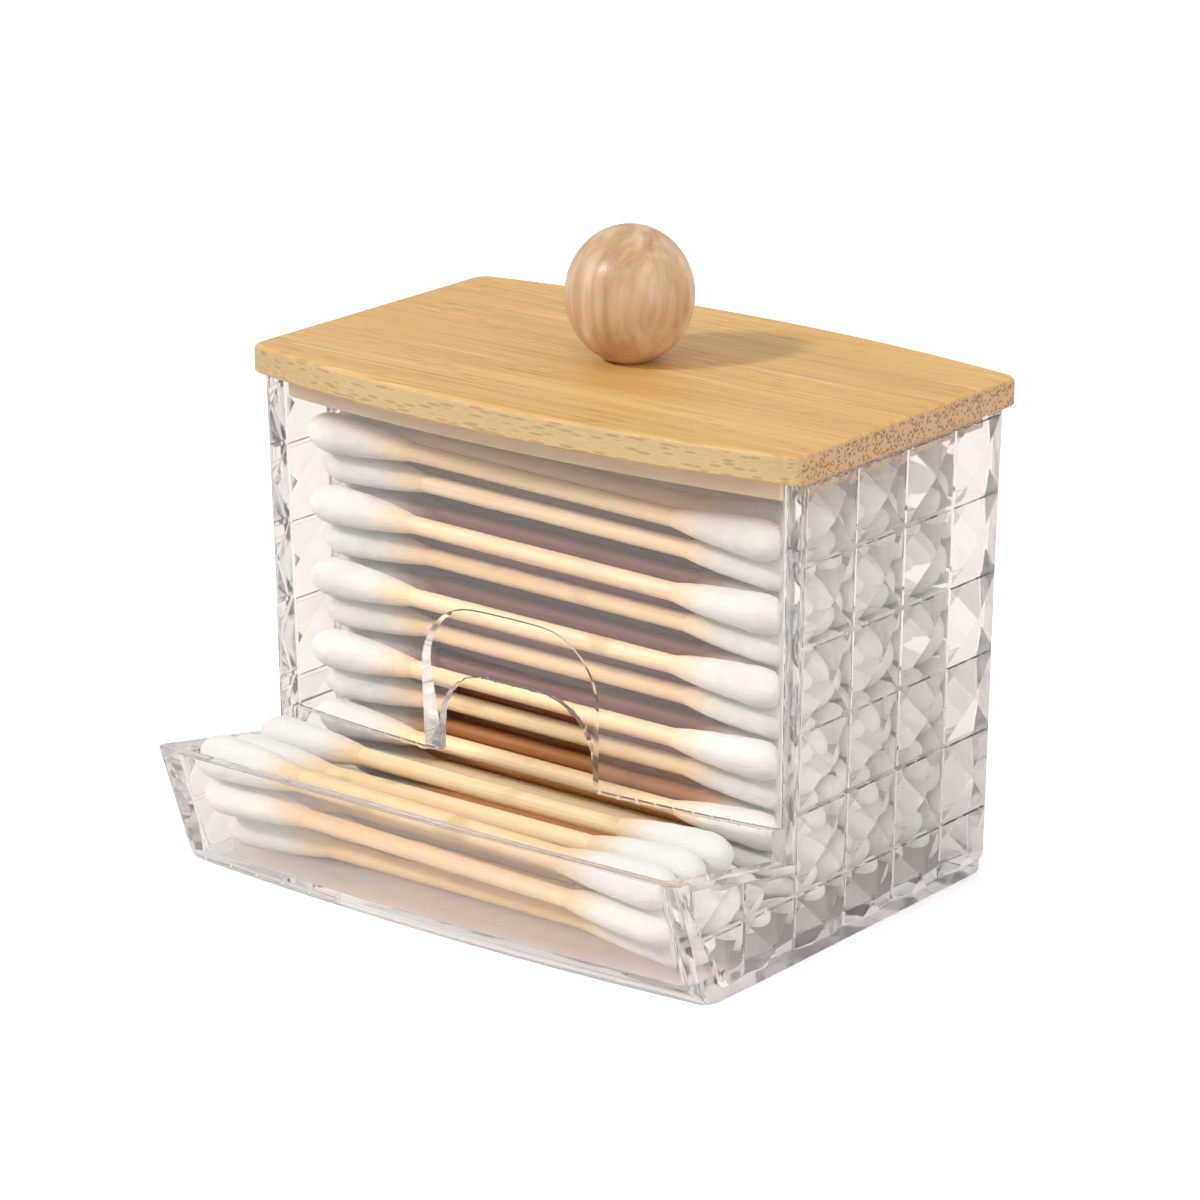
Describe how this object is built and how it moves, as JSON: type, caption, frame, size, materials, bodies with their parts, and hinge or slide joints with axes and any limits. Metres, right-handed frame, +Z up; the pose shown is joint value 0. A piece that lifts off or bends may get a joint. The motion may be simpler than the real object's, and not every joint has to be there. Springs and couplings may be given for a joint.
{
  "type": "cotton swab holder",
  "caption": "Clear faceted tub with an open front tray and a finger notch, filled with cotton swabs, under a bowed bamboo lid with a wooden ball knob.",
  "frame": {"origin": "on the ground plane under the middle of the object's box, lid and tray included", "axes": "+Z up, -Y is the front with the tray, +X to the right seen from the front, along the swabs"},
  "size_m": [0.0884, 0.0754, 0.0845],
  "materials": {
    "clear_plastic": "clear gloss",
    "bamboo": "satin",
    "ball_wood": "satin",
    "screw_steel": "plain",
    "stick_wood": "matt",
    "cotton": "matt"
  },
  "bodies": {
    "holder": {"tub": "clear_plastic", "layer_1_sticks": "stick_wood", "layer_2_sticks": "stick_wood", "layer_3_sticks": "stick_wood", "layer_4_sticks": "stick_wood", "layer_5_sticks": "stick_wood", "layer_6_sticks": "stick_wood", "layer_7_sticks": "stick_wood", "layer_8_sticks": "stick_wood", "layer_9_sticks": "stick_wood", "layer_10_sticks": "stick_wood", "layer_11_sticks": "stick_wood", "layer_1_tips": "cotton", "layer_2_tips": "cotton", "layer_3_tips": "cotton", "layer_4_tips": "cotton", "layer_5_tips": "cotton", "layer_6_tips": "cotton", "layer_7_tips": "cotton", "layer_8_tips": "cotton", "layer_9_tips": "cotton", "layer_10_tips": "cotton", "layer_11_tips": "cotton", "tray_sticks": "stick_wood", "tray_tips": "cotton"},
    "lid": {"lid_board": "bamboo", "knob": "ball_wood", "knob_screw": "screw_steel"}
  },
  "joints": [
    {"name": "lid_lift", "type": "slide", "parent": "holder", "child": "lid", "axis": [0, 0, 1], "range_m": [0, 0.06]}
  ]
}
